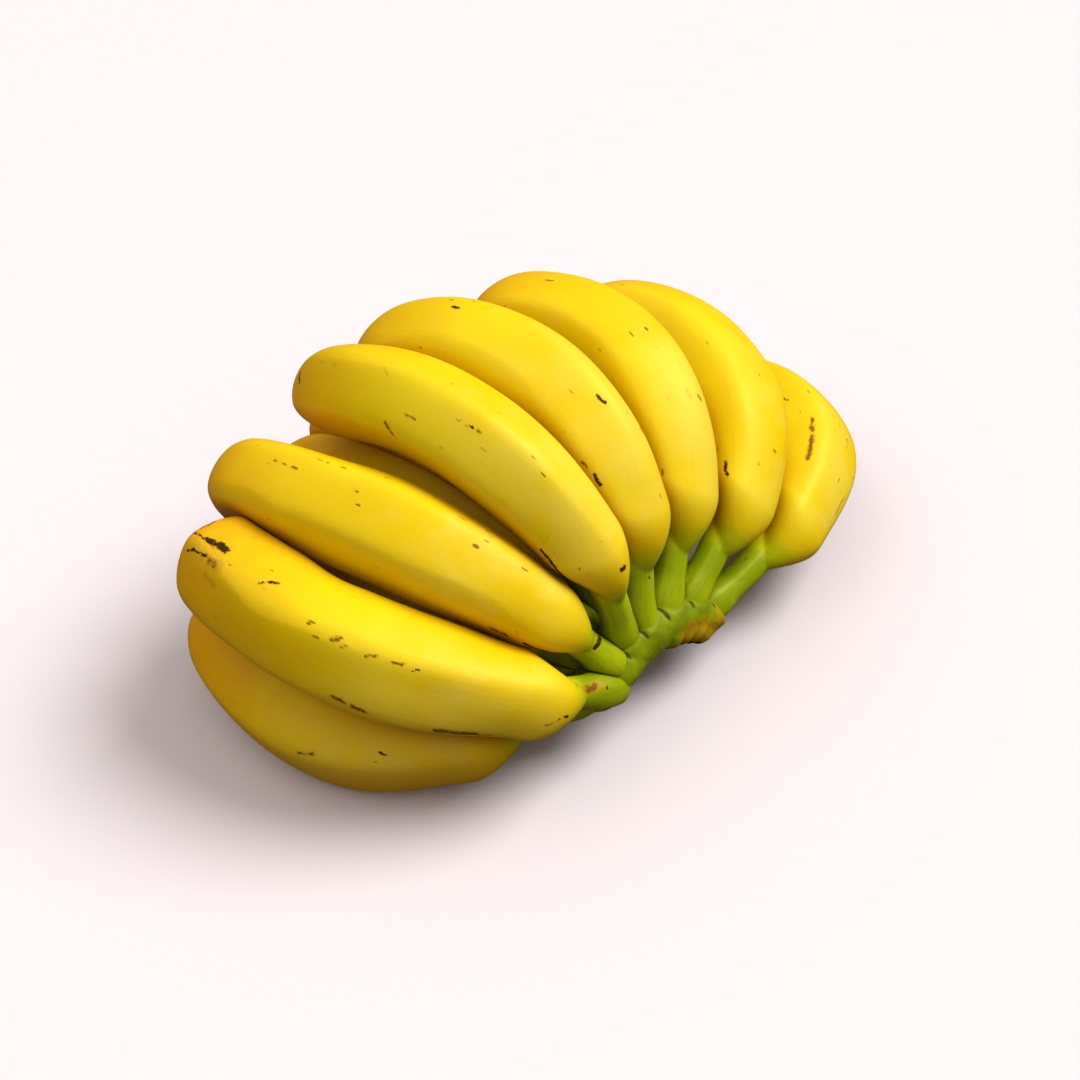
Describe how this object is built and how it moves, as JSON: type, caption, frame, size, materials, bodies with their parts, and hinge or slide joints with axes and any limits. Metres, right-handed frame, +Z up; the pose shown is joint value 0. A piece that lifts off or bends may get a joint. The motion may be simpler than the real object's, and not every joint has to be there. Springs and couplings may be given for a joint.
{
  "type": "bunch of bananas",
  "caption": "Hand of ripe bananas: two rows of short curved fingers fan out from one crown and lie arched on a flat surface.",
  "frame": {"origin": "centre of the bounding box's bottom, on the surface that the hand lies on", "axes": "+Z up; +X from the tips toward the crown; +Y across the fan, along its longest extent"},
  "size_m": [0.1706, 0.2492, 0.1186],
  "materials": {
    "outer_peel": "waxy ripe peel, yellow with a golden tip, a green stem and brown specks",
    "inner_peel": "waxy ripe peel, a little more golden",
    "crown_skin": "fibrous green crown turning brown at its dry cut edge"
  },
  "bodies": {
    "root": {"crown": "crown_skin", "outer_finger_1": "outer_peel", "outer_finger_2": "outer_peel", "outer_finger_3": "outer_peel", "outer_finger_4": "outer_peel", "outer_finger_5": "outer_peel", "outer_finger_6": "outer_peel", "outer_finger_7": "outer_peel", "outer_finger_8": "outer_peel", "inner_finger_1": "inner_peel", "inner_finger_2": "inner_peel", "inner_finger_3": "inner_peel", "inner_finger_4": "inner_peel", "inner_finger_5": "inner_peel", "inner_finger_6": "inner_peel", "inner_finger_7": "inner_peel"}
  },
  "joints": []
}
